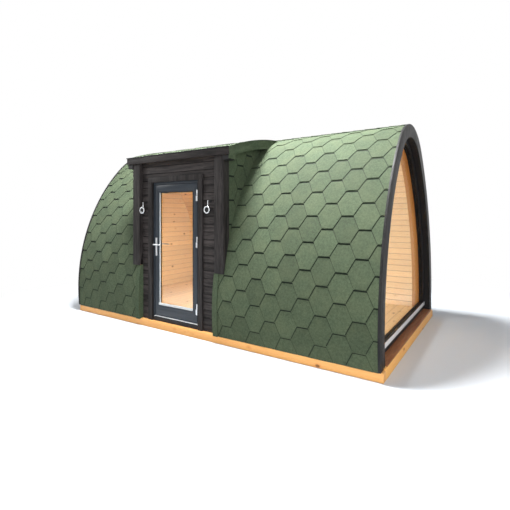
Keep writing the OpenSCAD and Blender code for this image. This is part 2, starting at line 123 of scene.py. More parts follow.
class Finish(NodeBuild):  # a material and the nodes it uses most
    def __init__(self, name):
        self.material = bpy.data.materials.new(name)
        self.material.use_nodes = True
        super().__init__(self.material.node_tree)
        self.tree.nodes.clear()

    def where(self, scale=(1, 1, 1), shift=(0, 0, 0)):
        start = self.add("ShaderNodeTexCoord", out="Object")
        return self.add("ShaderNodeMapping", {}, {"Vector": start, "Scale": scale, "Location": shift})

    def stored(self, name, out="Fac"):
        return self.add("ShaderNodeAttribute", {"attribute_name": name}, out=out)

    def axes(self, vector):
        return [self.add("ShaderNodeSeparateXYZ", {}, {0: vector}, out=n) for n in range(3)]

    def along(self, vector, tone, step=7.0):  # moves the grain from board to board
        shift = self.add("ShaderNodeCombineXYZ", {},
                         {0: tone * step, 1: tone * (step * 1.7), 2: tone * (step * 0.6)})
        return self.add("ShaderNodeVectorMath", {"operation": "ADD"}, {0: vector, 1: shift})

    def noise(self, vector, scale, detail=3.0, rough=0.5, twist=0.0):
        return self.add("ShaderNodeTexNoise", {}, {"Vector": vector, "Scale": scale, "Detail": detail,
                                                   "Roughness": rough, "Distortion": twist})

    def spread(self, value, low, high, a=0.0, b=1.0):
        return self.add("ShaderNodeMapRange", {"interpolation_type": "SMOOTHSTEP"},
                        {"Value": value, "From Min": low, "From Max": high, "To Min": a, "To Max": b})

    def mix(self, factor, a, b):
        return self.add("ShaderNodeMix", {"data_type": "RGBA"}, {"Factor": factor, 6: a, 7: b}, out=2)

    def level(self, colour, value):  # makes a colour darker or lighter by a number
        grey = self.add("ShaderNodeCombineColor", {}, {0: value, 1: value, 2: value})
        return self.add("ShaderNodeMix", {"data_type": "RGBA", "blend_type": "MULTIPLY"},
                        {"Factor": 1.0, 6: colour, 7: grey}, out=2)

    def seam(self, low, high, strength):  # where each board meets the one below; 0 on anything but boards
        across = self.axes(self.stored("tilePos", "Vector"))[1]
        return self.spread(across, low, high, strength, 0.0) * (across > 0.0004)

    def bump(self, height, strength, distance=0.002):
        return self.add("ShaderNodeBump", {}, {"Height": height, "Strength": strength, "Distance": distance})

    def coat(self, shader):
        self.add("ShaderNodeOutputMaterial", {}, {"Surface": shader})
        return self.material

    def surface(self, **values):
        names = {"colour": "Base Color", "rough": "Roughness", "metal": "Metallic", "normal": "Normal",
                 "specular": "Specular IOR Level"}
        return self.coat(self.add("ShaderNodeBsdfPrincipled", {}, {names[k]: v for k, v in values.items()}))


def stretched(grain, across, along):  # a scale that draws a pattern out along the grain
    return tuple(along if n == grain else across for n in range(3))


def timber(name, base, deep, grain, knots=1.0, rough=0.55, spread=0.16, seams=False):
    # grain runs along the axis given by grain (0, 1 or 2)
    wood = Finish(name)
    tone = wood.stored("tone")
    fibre = wood.along(wood.where(stretched(grain, 9.0, 0.8)), tone)
    broad = wood.noise(fibre, 2.2, 4.0, 0.55, 0.6)
    fine = wood.noise(fibre, 13.0, 3.0, 0.6)
    rings = wood.spread((broad * 9.0).maths("FRACT"), 0.15, 0.95)
    body = wood.mix(rings * 0.3 + fine * 0.3, base, deep)
    knotAt = wood.along(wood.where(stretched(grain, 6.5, 4.2)), tone, 11.0)
    cell, pick = [wood.add("ShaderNodeTexVoronoi", {}, {"Vector": knotAt, "Scale": 1.0}, out=out)
                  for out in ("Distance", "Color")]
    chosen = wood.axes(pick)[0] > 1.0 - 0.42 * knots
    knot = wood.spread(cell, 0.07, 0.14, 1.0, 0.0) * chosen * min(1.0, knots)
    halo = wood.spread(cell, 0.1, 0.25, 1.0, 0.0) * chosen * 0.6
    body = wood.mix(halo, body, deep)
    body = wood.mix(knot, body, shaded(deep, 0.34))
    body = wood.level(body, tone * spread + (1.0 - spread / 2))
    if seams:
        body = wood.mix(wood.seam(0.005, 0.009, 0.55), body, shaded(deep, 0.3))
    height = fine * 0.6 + rings * 0.4
    return wood.surface(colour=body, rough=wood.spread(fine, 0.3, 0.7, rough - 0.08, rough + 0.1),
                        normal=wood.bump(height, 0.25, 0.0015), specular=0.35)


def stainedBoard(name, base, light, grain, rough=0.6):
    stain = Finish(name)
    tone = stain.stored("tone")
    fibre = stain.along(stain.where(stretched(grain, 14.0, 1.1)), tone)
    broad = stain.noise(fibre, 1.8, 4.0, 0.6, 0.4)
    fine = stain.noise(fibre, 9.0, 3.0, 0.65)
    patch = stain.noise(stain.where((2.0, 2.0, 2.0)), 1.6, 2.0)
    body = stain.mix(stain.spread(broad * 0.6 + fine * 0.4, 0.35, 0.68), base, light)
    body = stain.level(body, tone * 0.5 + patch * 0.35 + 0.6)
    body = stain.mix(stain.seam(0.006, 0.012, 0.75), body, srgb(9, 8, 8))
    return stain.surface(colour=body, rough=stain.spread(fine, 0.3, 0.7, rough - 0.12, rough + 0.12),
                         normal=stain.bump(fine * 0.6 + broad * 0.4, 0.35, 0.0015), specular=0.14)


def shingleFinish(name, shade, drawn=True):
    felt = Finish(name)
    tone = felt.stored("tone")
    where = felt.where()
    cloud = felt.noise(where, 5.0, 4.0, 0.6)
    mottle = felt.noise(where, 46.0, 4.0, 0.7)
    grit = felt.noise(where, 420.0, 2.0, 0.7)
    body = felt.mix(felt.spread(mottle, 0.3, 0.72), shaded(shade, 0.74), shaded(shade, 1.2))
    body = felt.mix(felt.spread(cloud, 0.35, 0.7) * 0.3, body, srgb(84, 92, 68))
    body = felt.mix(felt.spread(grit, 0.6, 0.72) * 0.45, body, srgb(112, 122, 98))
    body = felt.mix(felt.spread(grit, 0.4, 0.28) * 0.5, body, srgb(26, 36, 27))
    body = felt.level(body, tone * 0.24 + 0.88)
    if drawn:  # a dark band below each row's edge, a printed shadow band widened with painted shadow, and dark lines on the slants, partly print and partly painted shade
        x, s, _ = felt.axes(felt.stored("tilePos", "Vector"))
        edge = felt.spread(s, 0.272, 0.277) * felt.spread(x.maths("ABSOLUTE"), 0.064, 0.068, 1.0, 0.0)
        wide, course, run, climb = shingle["wide"], shingle["course"], 0.891, 0.453
        rising = (x + wide) * run - (s - course) * climb
        falling = (wide - x) * run - (s - course) * climb
        upper = s > course
        # painted shade: the rising slants get the wider, darker line, for the side the light leaves in shade
        shadeBand = felt.spread(rising, 0.004, 0.013, 0.8, 0.0) * upper
        thin = felt.spread(falling, 0.003, 0.010, 0.6, 0.0) * upper
        printAndShade = edge.maths("MAXIMUM", shadeBand).maths("MAXIMUM", thin)
        body = felt.mix(printAndShade, body, srgb(15, 24, 16))
    return felt.surface(colour=body, rough=felt.spread(grit, 0.3, 0.7, 0.82, 0.96),
                        normal=felt.bump(grit * 0.7 + mottle * 0.6, 0.4, 0.0012), specular=0.25)


def paintFinish(name, shade, rough=0.38, bumpy=0.06):
    paint = Finish(name)
    cloud = paint.noise(paint.where(), 7.0, 3.0)
    peel = paint.noise(paint.where(), 260.0, 2.0)
    body = paint.level(shade, cloud * 0.22 + 0.89)
    return paint.surface(colour=body, rough=paint.spread(cloud, 0.3, 0.7, rough - 0.06, rough + 0.08),
                         specular=0.22, normal=paint.bump(peel, bumpy, 0.0006))


def metalFinish(name, shade, grain, rough=0.3):
    metal = Finish(name)
    brush = metal.noise(metal.where(stretched(grain, 240.0, 5.0)), 1.0, 3.0)
    cloud = metal.noise(metal.where(), 9.0, 2.0)
    return metal.surface(colour=metal.level(shade, brush * 0.2 + cloud * 0.12 + 0.84), metal=0.85,
                         rough=metal.spread(brush, 0.3, 0.7, rough - 0.07, rough + 0.1),
                         normal=metal.bump(brush, 0.08, 0.0004))


def glassFinish(name, tint, haze):
    pane = Finish(name)
    clear = pane.add("ShaderNodeBsdfTransparent", {}, {"Color": tint})
    shine = pane.add("ShaderNodeBsdfGlossy", {}, {"Color": (0.92, 0.95, 0.96, 1.0), "Roughness": 0.02})
    rim = pane.add("ShaderNodeFresnel", {}, {"IOR": 1.45})
    streak = pane.noise(pane.where((1.0, 1.0, 0.4)), 3.0, 2.0)
    return pane.coat(pane.add("ShaderNodeMixShader", {}, {0: rim * 0.1 + streak * haze, 1: clear, 2: shine}))


finishes = {
    "larch": timber("larchTimber", srgb(242, 184, 112), srgb(222, 148, 78), 0, 2.0, 0.5),
    # the end beams' larch is lighter than the front and back beams': painted light, making up for the lesser
    # light on the end faces
    "larchAcross": timber("larchTimberAcross", srgb(255, 198, 114), srgb(240, 160, 78), 1, 1.7, 0.5),
    "pine": timber("pineBoards", srgb(252, 224, 176), srgb(234, 190, 128), 0, 1.0, 0.55, 0.1, True),
    "pineAcross": timber("pineBoardsAcross", srgb(252, 224, 176), srgb(234, 190, 128), 1, 1.5, 0.55, 0.1, True),
    # painted shade: a darker copy of the pine, for the band beside the glazing
    "trim": timber("pineShadeBand", srgb(216, 166, 108), srgb(196, 138, 84), 1, 0.5),
    "brown": stainedBoard("brownStep", srgb(144, 92, 62), srgb(188, 128, 88), 1, 0.5),
    "black": stainedBoard("blackBoards", srgb(27, 25, 25), srgb(68, 63, 62), 0),
    "blackUp": stainedBoard("blackBoardsUpright", srgb(27, 25, 25), srgb(66, 62, 61), 2),
    # a darker copy of the black boards for the arch faces: painted shade
    "arch": stainedBoard("archBoards", srgb(24, 24, 24), srgb(50, 49, 49), 2, 0.5),
    "frame": paintFinish("blackFramePaint", srgb(22, 21, 22), 0.5),
    "door": paintFinish("doorPaint", srgb(44, 50, 57), 0.36),
    "shingle": shingleFinish("greenShingles", srgb(64, 76, 57)),
    "felt": shingleFinish("greenFelt", srgb(66, 80, 60), False),
    "gasket": paintFinish("gasketRubber", srgb(16, 16, 17), 0.6, 0.02),
    "steel": metalFinish("brushedSteel", srgb(196, 198, 200), 2),
    "bar": paintFinish("paleMetalBar", srgb(224, 225, 228), 0.34),
    "bead": paintFinish("whiteBead", srgb(196, 201, 204), 0.5),
    "glass": glassFinish("clearGlass", (0.985, 0.99, 0.985, 1.0), 0.004),
    "bigGlass": glassFinish("gableGlassPane", (0.97, 0.98, 0.975, 1.0), 0.012),
}
print("finishes:", len(finishes))


# rows of repeated units, laid flat or wrapped round the pod; this is how they lie unless told otherwise
plainLay = {"Columns": 1, "Rows": 1, "Pitch": 1.0, "Course": 1.0, "Stagger": 0.0, "First Column": 0.0,
            "First Row": 0.0, "Jitter": 0.0, "Wrap": 0.0, "Side": -1.0, "Large Radius": 1.0,
            "Large Offset": 0.0, "Large Height": 0.0, "Change": 99.0, "Crown Radius": 1.0,
            "Crown Height": 0.0, "Seed": 1}


def buildCourseTree():
    tree = bpy.data.node_groups.new("laidCourses", "GeometryNodeTree")
    tree.is_modifier = True
    tree.interface.new_socket("Geometry", in_out="OUTPUT", socket_type="NodeSocketGeometry")
    tree.interface.new_socket("Unit", in_out="INPUT", socket_type="NodeSocketGeometry")
    for label, value in plainLay.items():
        kind = "NodeSocketInt" if isinstance(value, int) else "NodeSocketFloat"
        tree.interface.new_socket(label, in_out="INPUT", socket_type=kind)
    tree.interface.new_socket("Material", in_out="INPUT", socket_type="NodeSocketMaterial")
    lay = NodeBuild(tree)
    start = tree.nodes.new("NodeGroupInput")
    given = {socket.name: Wire(lay, socket) for socket in start.outputs if socket.name}
    spot = lay.add("GeometryNodeInputPosition")
    marked = lay.add("GeometryNodeStoreNamedAttribute", {"data_type": "FLOAT_VECTOR", "domain": "POINT"},
                     {"Geometry": given["Unit"], "Name": "tilePos", "Value": spot})
    index = lay.add("GeometryNodeInputIndex")
    row = (index / given["Columns"]).maths("FLOOR")
    column = index - row * given["Columns"]
    odd = row.maths("MODULO", 2.0)
    place = lay.add("ShaderNodeCombineXYZ", {}, {
        0: given["First Column"] + (column + odd * given["Stagger"]) * given["Pitch"],
        1: given["First Row"] + row * given["Course"]})
    points = lay.add("GeometryNodePoints", {}, {"Count": given["Columns"] * given["Rows"], "Position": place})
    laid = lay.add("GeometryNodeInstanceOnPoints", {}, {"Points": points, "Instance": marked})
    tone = lay.add("FunctionNodeRandomValue", {"data_type": "FLOAT"}, {"Seed": given["Seed"]}, out=1)
    laid = lay.add("GeometryNodeStoreNamedAttribute", {"data_type": "FLOAT", "domain": "INSTANCE"},
                   {"Geometry": laid, "Name": "tone", "Value": tone})
    nudge = [lay.add("FunctionNodeRandomValue", {"data_type": "FLOAT"},
                     {2: given["Jitter"] * -1.0, 3: given["Jitter"], "Seed": given["Seed"] + n},
                     out=1) for n in (3, 8)]
    shift = lay.add("ShaderNodeCombineXYZ", {}, {0: nudge[0], 1: nudge[1]})
    laid = lay.add("GeometryNodeTranslateInstances", {}, {"Instances": laid, "Translation": shift})
    solid = lay.add("GeometryNodeRealizeInstances", {}, {"Geometry": laid})
    flat = lay.add("GeometryNodeInputPosition")
    x, s, h = [lay.add("ShaderNodeSeparateXYZ", {}, {0: flat}, out=n) for n in range(3)]
    onCrown = s > given["Change"]
    lowAngle = s / given["Large Radius"]
    highAngle = given["Change"] / given["Large Radius"] + (s - given["Change"]) / given["Crown Radius"]
    lowR = given["Large Radius"] + h
    highR = given["Crown Radius"] + h
    lowY = lowR * lowAngle.maths("COSINE") - given["Large Offset"]
    lowZ = lowR * lowAngle.maths("SINE") + given["Large Height"]
    highY = highR * highAngle.maths("COSINE")
    highZ = highR * highAngle.maths("SINE") + given["Crown Height"]
    y = lowY + onCrown * (highY - lowY)
    z = lowZ + onCrown * (highZ - lowZ)
    keep = 1.0 - given["Wrap"]
    wrapped = lay.add("ShaderNodeCombineXYZ", {}, {
        0: x * keep - x * given["Side"] * given["Wrap"],
        1: s * keep + y * given["Side"] * given["Wrap"],
        2: h * keep + z * given["Wrap"]})
    bent = lay.add("GeometryNodeSetPosition", {}, {"Geometry": solid, "Position": wrapped})
    done = lay.add("GeometryNodeSetMaterial", {}, {"Geometry": bent, "Material": given["Material"]})
    end = tree.nodes.new("NodeGroupOutput")
    tree.links.new(done.socket, end.inputs[0])
    return tree


courseTree = buildCourseTree()
podWrap = {"Wrap": 1.0, "Large Radius": pod["sideR"], "Large Offset": pod["sideC"],
           "Large Height": pod["springZ"], "Change": pod["sideR"] * pod["blend"],
           "Crown Radius": pod["crownR"], "Crown Height": pod["crownZ"]}


def emptyPiece(name, mesh):
    piece = bpy.data.objects.new(name, mesh)
    scene.collection.objects.link(piece)
    return piece


def meshPiece(name, bm, material):
    bmesh.ops.recalc_face_normals(bm, faces=bm.faces)
    mesh = bpy.data.meshes.new(name)
    bm.to_mesh(mesh)
    bm.free()
    mesh.materials.append(material)
    return emptyPiece(name, mesh)


def layCourses(name, unit, material, layout, seed):
    mesh = bpy.data.meshes.new(name + "Unit")
    unit.to_mesh(mesh)
    unit.free()
    host = emptyPiece(name + "Host", mesh)
    layer = host.modifiers.new("courses", "NODES")
    layer.node_group = courseTree
    values = {**plainLay, **layout, "Seed": seed, "Material": material}
    for item in courseTree.interface.items_tree:
        if item.in_out == "INPUT" and item.name in values:
            layer[item.identifier] = values[item.name]
    graph = bpy.context.evaluated_depsgraph_get()
    made = bpy.data.meshes.new_from_object(host.evaluated_get(graph), preserve_all_data_layers=True,
                                           depsgraph=graph)
    bpy.data.objects.remove(host)
    made.name = name
    return emptyPiece(name, made)


def bridge(bm, a, b, closed=True):  # joins two rows of corners with a band of quads
    for k in range(len(a) if closed else len(a) - 1):
        m = (k + 1) % len(a)
        bm.faces.new((a[k], a[m], b[m], b[k]))


def plane(bm, point, normal, clear=False):
    return bmesh.ops.bisect_plane(bm, geom=bm.verts[:] + bm.edges[:] + bm.faces[:], plane_co=point,
                                  plane_no=normal, clear_outer=clear)


def edit(piece, change):  # opens a piece's mesh, changes it and puts it back
    bm = bmesh.new()
    bm.from_mesh(piece.data)
    change(bm)
    bm.to_mesh(piece.data)
    bm.free()
    return piece


def trim(bm, point, normal):  # takes away what lies on the normal's side, and closes the cuts
    cut = plane(bm, point, normal, True)
    edges = [e for e in cut["geom_cut"] if isinstance(e, bmesh.types.BMEdge) and e.is_boundary]
    bmesh.ops.holes_fill(bm, edges=edges, sides=0)


def between(bm, axis, low, high):  # keeps what lies between two planes across an axis
    for value, side in ((low, -1), (high, 1)):
        trim(bm, [value * (n == axis) for n in range(3)], [side * (n == axis) for n in range(3)])


farOff = 9  # a distance that lies outside every piece


def cutBlock(bm, low, high):  # takes a box out of a mesh and closes the cuts
    for axis in range(3):
        for value in (low[axis], high[axis]):
            if abs(value) < farOff:
                normal = [float(n == axis) for n in range(3)]
                plane(bm, [value * n for n in normal], normal)
    gone = [f for f in bm.faces if all(low[n] < f.calc_center_median()[n] < high[n] for n in range(3))]
    rim = {e for f in gone for e in f.edges}
    bmesh.ops.delete(bm, geom=gone, context="FACES")
    bmesh.ops.holes_fill(bm, edges=[e for e in rim if e.is_valid and e.is_boundary], sides=12)


def smooth(piece, angle=32):
    piece.data.polygons.foreach_set("use_smooth", [True] * len(piece.data.polygons))
    piece.data.set_sharp_from_angle(angle=math.radians(angle))
    return piece


def settle(piece, body="pod", stands=()):
    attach(piece, body)
    if stands:
        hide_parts(*stands)
    return piece


def setPiece(name, bm, finish, angle, body="pod", stands=()):
    return settle(smooth(meshPiece(name, bm, finishes[finish]), angle), body, stands)


def roundedCopy(node, name, material, width=0.002, segments=2, merge=0.0002, angle=28):
    # a CAD part with its edges eased
    source = nodes[node].data
    bm = bmesh.new()
    bm.from_mesh(source)
    bmesh.ops.remove_doubles(bm, verts=bm.verts, dist=merge)
    bmesh.ops.dissolve_limit(bm, angle_limit=math.radians(0.6), verts=bm.verts, edges=bm.edges)
    sharp = [e for e in bm.edges if len(e.link_faces) == 2 and e.calc_face_angle(0) > math.radians(angle)]
    if width:
        bmesh.ops.bevel(bm, geom=sharp, offset=width, offset_type="OFFSET", segments=segments, profile=0.6,
                        affect="EDGES", clamp_overlap=True)
    mesh = bpy.data.meshes.new(name)
    bm.to_mesh(mesh)
    bm.free()
    mesh.materials.append(material)
    return smooth(emptyPiece(name, mesh), 40)


def addBox(bm, low, high):
    made = bmesh.ops.create_cube(bm, size=1.0)
    for v in made["verts"]:
        for n in range(3):
            v.co[n] = low[n] if v.co[n] < 0 else high[n]
    return made["verts"]


def halfAt(z, inset=0.0):  # half width of the pod at height z
    side = pod["sideR"] - inset
    y = math.sqrt(max(0.0, side * side - (z - pod["springZ"]) ** 2)) - pod["sideC"]
    if math.atan2(z - pod["springZ"], y + pod["sideC"]) <= pod["blend"]:
        return y
    crown = pod["crownR"] - inset
    return math.sqrt(max(0.0, crown * crown - (z - pod["crownZ"]) ** 2))


def profilePoint(s, inset=0.0):  # (distance from the middle, height) at arc length s above the spring line
    if s <= pod["sideR"] * pod["blend"]:
        a, r = s / pod["sideR"], pod["sideR"] - inset
        return r * math.cos(a) - pod["sideC"], pod["springZ"] + r * math.sin(a)
    a, r = pod["blend"] + (s - pod["sideR"] * pod["blend"]) / pod["crownR"], pod["crownR"] - inset
    return r * math.cos(a), pod["crownZ"] + r * math.sin(a)


def roofHeight(y, drop=0.0):  # height of the dormer roof at distance y
    r = dormer["roofR"] - drop
    return dormer["roofZ"] + math.sqrt(r * r - y * y)


def addShell(bm, x0, x1, outline):  # a closed outline of (y, z) points drawn out along the pod
    rings = [[bm.verts.new((x, y, z)) for y, z in outline] for x in (x0, x1)]
    bridge(bm, *rings)
    return rings


def stripOutline(s0, s1, insetA, insetB, sign, steps=44):
    outer = [profilePoint(s0 + (s1 - s0) * k / steps, insetA) for k in range(steps + 1)]
    inner = [profilePoint(s0 + (s1 - s0) * k / steps, insetB) for k in range(steps, -1, -1)]
    return [(sign * y, z) for y, z in outer + inner]


def curvedSheet(bm, x0, x1, s0, s1, insetA, insetB, sign, steps=44):
    outline = stripOutline(s0, s1, insetA, insetB, sign, steps)
    for ring in addShell(bm, x0, x1, outline):
        bridge(bm, ring[:steps + 1], ring[:steps:-1], False)


# green shingles
shingleLay = {"Pitch": shingle["pitch"], "Course": shingle["course"], "Stagger": 0.5}


def shingleUnit():
    c, t, grow = shingle["course"], shingle["thick"], shingle["thick"] / shingle["course"]
    rows = [(0.0, [-shingle["flat"], shingle["flat"]]),
            (c / 2, [-(shingle["flat"] + shingle["wide"]) / 2, (shingle["flat"] + shingle["wide"]) / 2]),
            (c, [-shingle["body"], -shingle["wide"], shingle["wide"], shingle["body"]]),
            (c * 1.5, [-shingle["body"], shingle["body"]]),
            (shingle["head"], [-shingle["body"], shingle["body"]])]
    bm = bmesh.new()
    levels = []
    for depth in (0.0, t):
        levels.append([[bm.verts.new((x, s, -s * grow - depth)) for x in xs] for s, xs in rows])
    for n, (a, b, c2, d, e) in enumerate(levels):
        faces = [(a[0], a[1], b[1], b[0]), (b[0], b[1], c2[2], c2[1]),
                 (c2[0], c2[1], c2[2], c2[3], d[1], d[0]), (d[0], d[1], e[1], e[0])]
        for f in faces:
            bm.faces.new(f if n == 0 else tuple(reversed(f)))
    rim = ((0, 0), (0, 1), (1, 1), (2, 2), (2, 3), (3, 1), (4, 1), (4, 0), (3, 0), (2, 0), (2, 1), (1, 0))
    bridge(bm, *[[level[row][k] for row, k in rim] for level in levels])
    bmesh.ops.recalc_face_normals(bm, faces=bm.faces)
    return bm


def shingleSide(name, x0, x1, side, topS, seed):
    # first columns and rows carry on the same pattern right round the pod
    row0 = round((shingle["start"] - shingle["firstRow"]) / shingle["course"] / 2) * 2
    firstRow = shingle["firstRow"] + row0 * shingle["course"]
    reach0, reach1 = (x0, x1) if side < 0 else (-x1, -x0)
    lead = math.ceil((shingle["firstColumn"] - reach0) / shingle["pitch"]) + 1
    firstColumn = shingle["firstColumn"] - lead * shingle["pitch"]
    columns = math.ceil((reach1 - firstColumn) / shingle["pitch"]) + 1
    rows = math.ceil((topS - firstRow) / shingle["course"])
    layout = dict(podWrap, **shingleLay, Side=side, Columns=columns, Rows=rows, Jitter=shingle["jitter"])
    layout["First Column"], layout["First Row"] = firstColumn, firstRow
    field = layCourses(name, shingleUnit(), finishes["shingle"], layout, seed)

    def clip(bm):
        between(bm, 0, x0, x1)
        trim(bm, (0, 0, pod["skirtZ"] + 0.003), (0, 0, -1))
        trim(bm, (0, side * 0.002, 0), (0, -side, 0))
    return edit(field, clip)


def addBacking(piece, x0, x1, s1, sign, material):
    def lay(bm):  # the felt sheet under the shingles, in the piece's second material
        before = set(bm.faces)
        curvedSheet(bm, x0, x1, shingle["backingFoot"], s1,
                    shingle["backingTop"], shingle["backingUnder"], sign)
        fresh = [f for f in bm.faces if f not in before]
        bmesh.ops.recalc_face_normals(bm, faces=fresh)
        for f in fresh:
            f.material_index = 1
    piece.data.materials.append(material)
    return edit(piece, lay)


for part, x0, x1, seed in (("Left", pod["vaultX0"] + 0.001, dormer["pier0"], 11),
                           ("Right", dormer["pier1"], pod["vaultX1"] - 0.001, 23)):
    field = shingleSide("shingles" + part, x0, x1, -1.0, pod["ridgeS"], seed)
    field = addBacking(field, x0, x1, pod["ridgeS"], -1.0, finishes["felt"])
    low, high = (dormer["cheek0"], farOff) if part == "Left" else (-farOff, dormer["cheek1"])
    edit(field, lambda bm: cutBlock(bm, (low, -farOff, dormer["boardZ"]), (high, dormer["backY"], farOff)))
    settle(smooth(field, 24), stands=("cover_front_" + part.lower(),))
# the crown strip over the dormer, between the two front fields
crownField = shingleSide("shinglesCrown", dormer["pier0"], dormer["pier1"], -1.0, pod["ridgeS"], 31)
edit(crownField, lambda bm: cutBlock(bm, (-farOff,) * 3, (farOff, dormer["backY"], farOff)))
settle(smooth(crownField, 24))
x0, x1 = pod["vaultX0"] + 0.001, pod["vaultX1"] - 0.001
backField = shingleSide("shinglesBack", x0, x1, 1.0, pod["ridgeS"], 47)
backField = addBacking(backField, x0, x1, pod["ridgeS"], 1.0, finishes["felt"])
settle(smooth(backField, 24), stands=("cover_back",))
print("shingles laid")


def boardUnit(x0, x1, width, low, high, chamfer=0.003, face=1):
    # one board lying in (along, across, height), with its long edges chamfered on the seen face
    seen, back = (high, low) if face > 0 else (low, high)
    c = chamfer if face > 0 else -chamfer
    outline = [(0.0, back), (width, back), (width, seen - c), (width - chamfer, seen), (chamfer, seen),
               (0.0, seen - c)]
    bm = bmesh.new()
    rings = [[bm.verts.new((x, s, h)) for s, h in outline] for x in (x0, x1)]
    bridge(bm, *rings)
    bm.faces.new(rings[0])
    bm.faces.new(rings[1])
    bmesh.ops.recalc_face_normals(bm, faces=bm.faces)
    return bm


def stand(piece, origin, along, across, out):
    # puts a flat field of boards in its place: three axes and a corner
    for v in piece.data.vertices:
        x, s, h = v.co
        v.co = Vector(origin) + x * Vector(along) + s * Vector(across) + h * Vector(out)
    return piece


def clampToArch(piece, inset):
    for v in piece.data.vertices:
        limit = halfAt(v.co.z, inset) if v.co.z < pod["ridge"] - inset else 0.0
        v.co.y = max(-limit, min(limit, v.co.y))
    return piece


def flatBoards(name, unit, finish, rows, course, seed):
    return layCourses(name, unit, finishes[finish], {"Rows": rows, "Course": course}, seed)


# ridge caps
ridge = {"wide": 0.115, "step": 0.15, "long": 0.31, "thick": 0.004, "count": 32, "lift": 0.009}


def ridgeUnit():
    bm = bmesh.new()
    steps, levels = 6, []
    for depth in (0.0, ridge["thick"]):
        rows = []
        tail = ridge["lift"] - ridge["long"] / ridge["step"] * ridge["thick"]
        for x, lift in ((0.0, ridge["lift"]), (ridge["long"], tail)):
            rows.append([bm.verts.new((x, pod["ridgeS"] + ridge["wide"] * (2 * k / steps - 1), lift - depth))
                         for k in range(steps + 1)])
        levels.append(rows)
        bridge(bm, *rows, closed=False)
    bridge(bm, *[level[0] + level[1][::-1] for level in levels])
    bmesh.ops.recalc_face_normals(bm, faces=bm.faces)
    return bm


layout = dict(podWrap, Columns=ridge["count"], Rows=1, Pitch=ridge["step"], Jitter=0.001)
layout["First Column"] = pod["vaultX0"] + 0.002
caps = layCourses("ridgeCaps", ridgeUnit(), finishes["felt"], layout, 5)
edit(caps, lambda bm: trim(bm, (pod["vaultX1"] - 0.002, 0, 0), (1, 0, 0)))
settle(smooth(caps, 24))

# dormer roof: shingles, edge bands and its lining
roofLay = {"columns": 7, "rows": 12, "lead": 0.35, "drop": 0.31, "sheet": 0.006, "steps": 24}
edgeFelt = {"lip": 0.010, "side": 0.011, "tabDrop": 0.134, "tabLong": 0.128, "tabTall": 0.09}
roofFront, roofBack = dormer["fasciaY"] + 0.02, dormer["backY"]
roofS0 = dormer["roofR"] * math.acos(-roofFront / dormer["roofR"])
layout = {**shingleLay, "Wrap": 1.0, "Large Radius": dormer["roofR"], "Large Height": dormer["roofZ"],
          "Columns": roofLay["columns"], "Rows": roofLay["rows"], "Jitter": 0.001,
          "First Column": dormer["roofX0"] - roofLay["lead"], "First Row": roofS0 - roofLay["drop"]}
roofField = layCourses("dormerShingles", shingleUnit(), finishes["shingle"], layout, 61)


def clipRoof(bm):
    between(bm, 1, roofFront, roofBack - 0.004)
    between(bm, 0, dormer["roofX0"] - edgeFelt["side"], dormer["roofX1"] + edgeFelt["side"])


edit(roofField, clipRoof)


def crumpledBand(bm, x, out, seed):
    # felt folded down over the edge of the dormer roof: it follows the arc and ripples slightly
    steps, drops = 46, 7
    grid = []
    for layer in (0, 1):
        rows = []
        for j in range(drops + 1):
            drop = -0.002 + (dormer["bandH"] + 0.002) * j / drops
            row = []
            for k in range(steps + 1):
                y = roofFront + (roofBack - roofFront) * k / steps
                ripple = noise.noise(Vector((y * 9.0, drop * 16.0, seed))) * 0.006 * (0.25 + j / drops)
                hem = noise.noise(Vector((y * 5.0, seed, 3.0))) * 0.003 * (j / drops)
                lip = 0.0 if layer else edgeFelt["lip"]
                row.append(bm.verts.new((x + out * (lip + ripple * (1 - layer)), y, roofHeight(y, drop) + hem)))
            rows.append(row)
        grid.append(rows)
    for rows in grid:
        for j in range(drops):
            bridge(bm, rows[j], rows[j + 1], False)
    outer, inner = grid
    rim = [(outer[0], inner[0]), (outer[-1], inner[-1]), ([r[0] for r in outer], [r[0] for r in inner]),
           ([r[-1] for r in outer], [r[-1] for r in inner])]
    for a, b in rim:
        bridge(bm, a, b, False)


bands = bmesh.new()
crumpledBand(bands, dormer["roofX0"], -1, 1.3)
crumpledBand(bands, dormer["roofX1"], 1, 4.1)
tabLow = roofHeight(dormer["fasciaY"]) - edgeFelt["tabDrop"]
for x0, x1 in ((dormer["roofX0"] - edgeFelt["side"], dormer["roofX0"]),
               (dormer["roofX1"], dormer["roofX1"] + edgeFelt["side"])):
    addBox(bands, (x0, roofFront + 0.001, tabLow),
           (x1, roofFront + edgeFelt["tabLong"], tabLow + edgeFelt["tabTall"]))
bandPiece = smooth(meshPiece("dormerEdgeBands", bands, finishes["felt"]), 50)
sheet = bmesh.new()
steps, thick = roofLay["steps"], roofLay["sheet"]
outline = [(y, roofHeight(y, thick)) for y in
           [roofFront + (roofBack - roofFront) * k / steps for k in range(steps + 1)]]
outline += [(y, z - thick) for y, z in reversed(outline)]
for ring in addShell(sheet, dormer["roofX0"], dormer["roofX1"], outline):
    bridge(sheet, ring[:steps + 1], ring[:steps:-1], False)
settle(meshPiece("dormerUnderlay", sheet, finishes["felt"]))
settle(bandPiece)
settle(smooth(roofField, 24), stands=("dormer_cover",))


# cheeks of the dormer, cut along a fine grid so that their edge follows the two roofs
cheek = {"columns": 6, "rows": 14, "firstOut": -1.62, "firstIn": -0.36, "firstRow": 0.55, "proud": 0.012,
         "front": 0.11, "grid": 0.05, "gridY": -1.28, "levels": 34, "slices": 22,
         "underRoof": 0.085, "inVault": 0.06}


